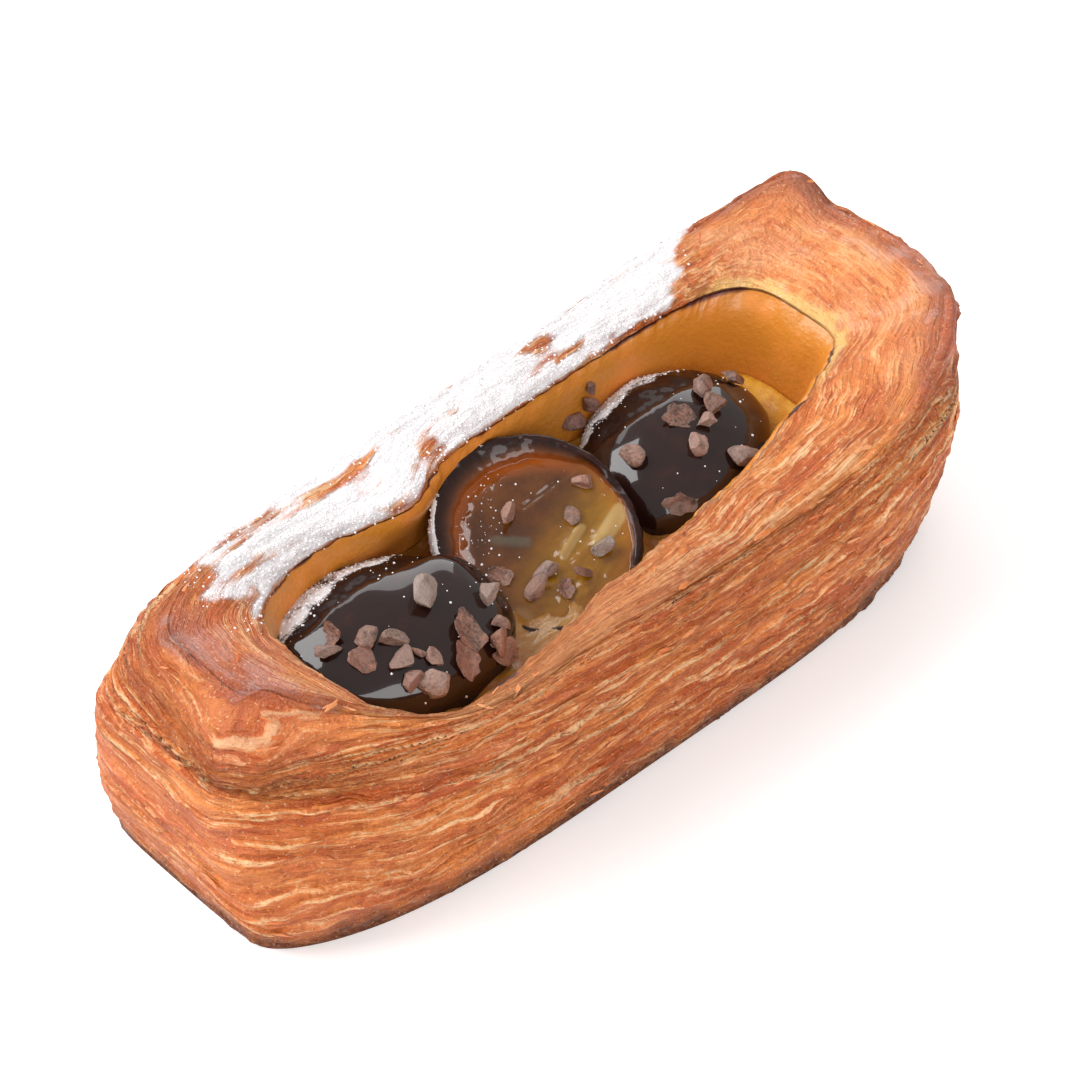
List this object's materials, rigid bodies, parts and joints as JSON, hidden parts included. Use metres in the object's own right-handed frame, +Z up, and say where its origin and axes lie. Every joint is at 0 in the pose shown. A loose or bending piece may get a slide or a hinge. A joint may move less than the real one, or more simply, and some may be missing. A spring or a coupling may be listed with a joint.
{
  "type": "chestnut danish",
  "caption": "Boat-shaped laminated danish with raised pointed corners, filled with baked custard and candied chestnut halves under cacao nibs.",
  "frame": {"origin": "middle of the danish's box at its underside, where it rests", "axes": "+X along the boat towards its right end as the picture shows it, -Y towards the viewer's side, +Z up"},
  "size_m": [0.1604, 0.0612, 0.0479],
  "materials": {
    "crust": "flaky baked dough, egg washed on the ends",
    "sugar": "powdered sugar",
    "custard": "baked custard, moist",
    "glazed_chestnut": "candied chestnut skin under a clear glaze",
    "cut_chestnut": "syrup-soaked chestnut flesh, moist",
    "nib": "roasted cacao bean chips"
  },
  "bodies": {
    "root": {"pastry": "crust", "custard": "custard", "chestnut_left": "glazed_chestnut", "chestnut_middle": "cut_chestnut", "chestnut_right": "glazed_chestnut"}
  },
  "joints": []
}
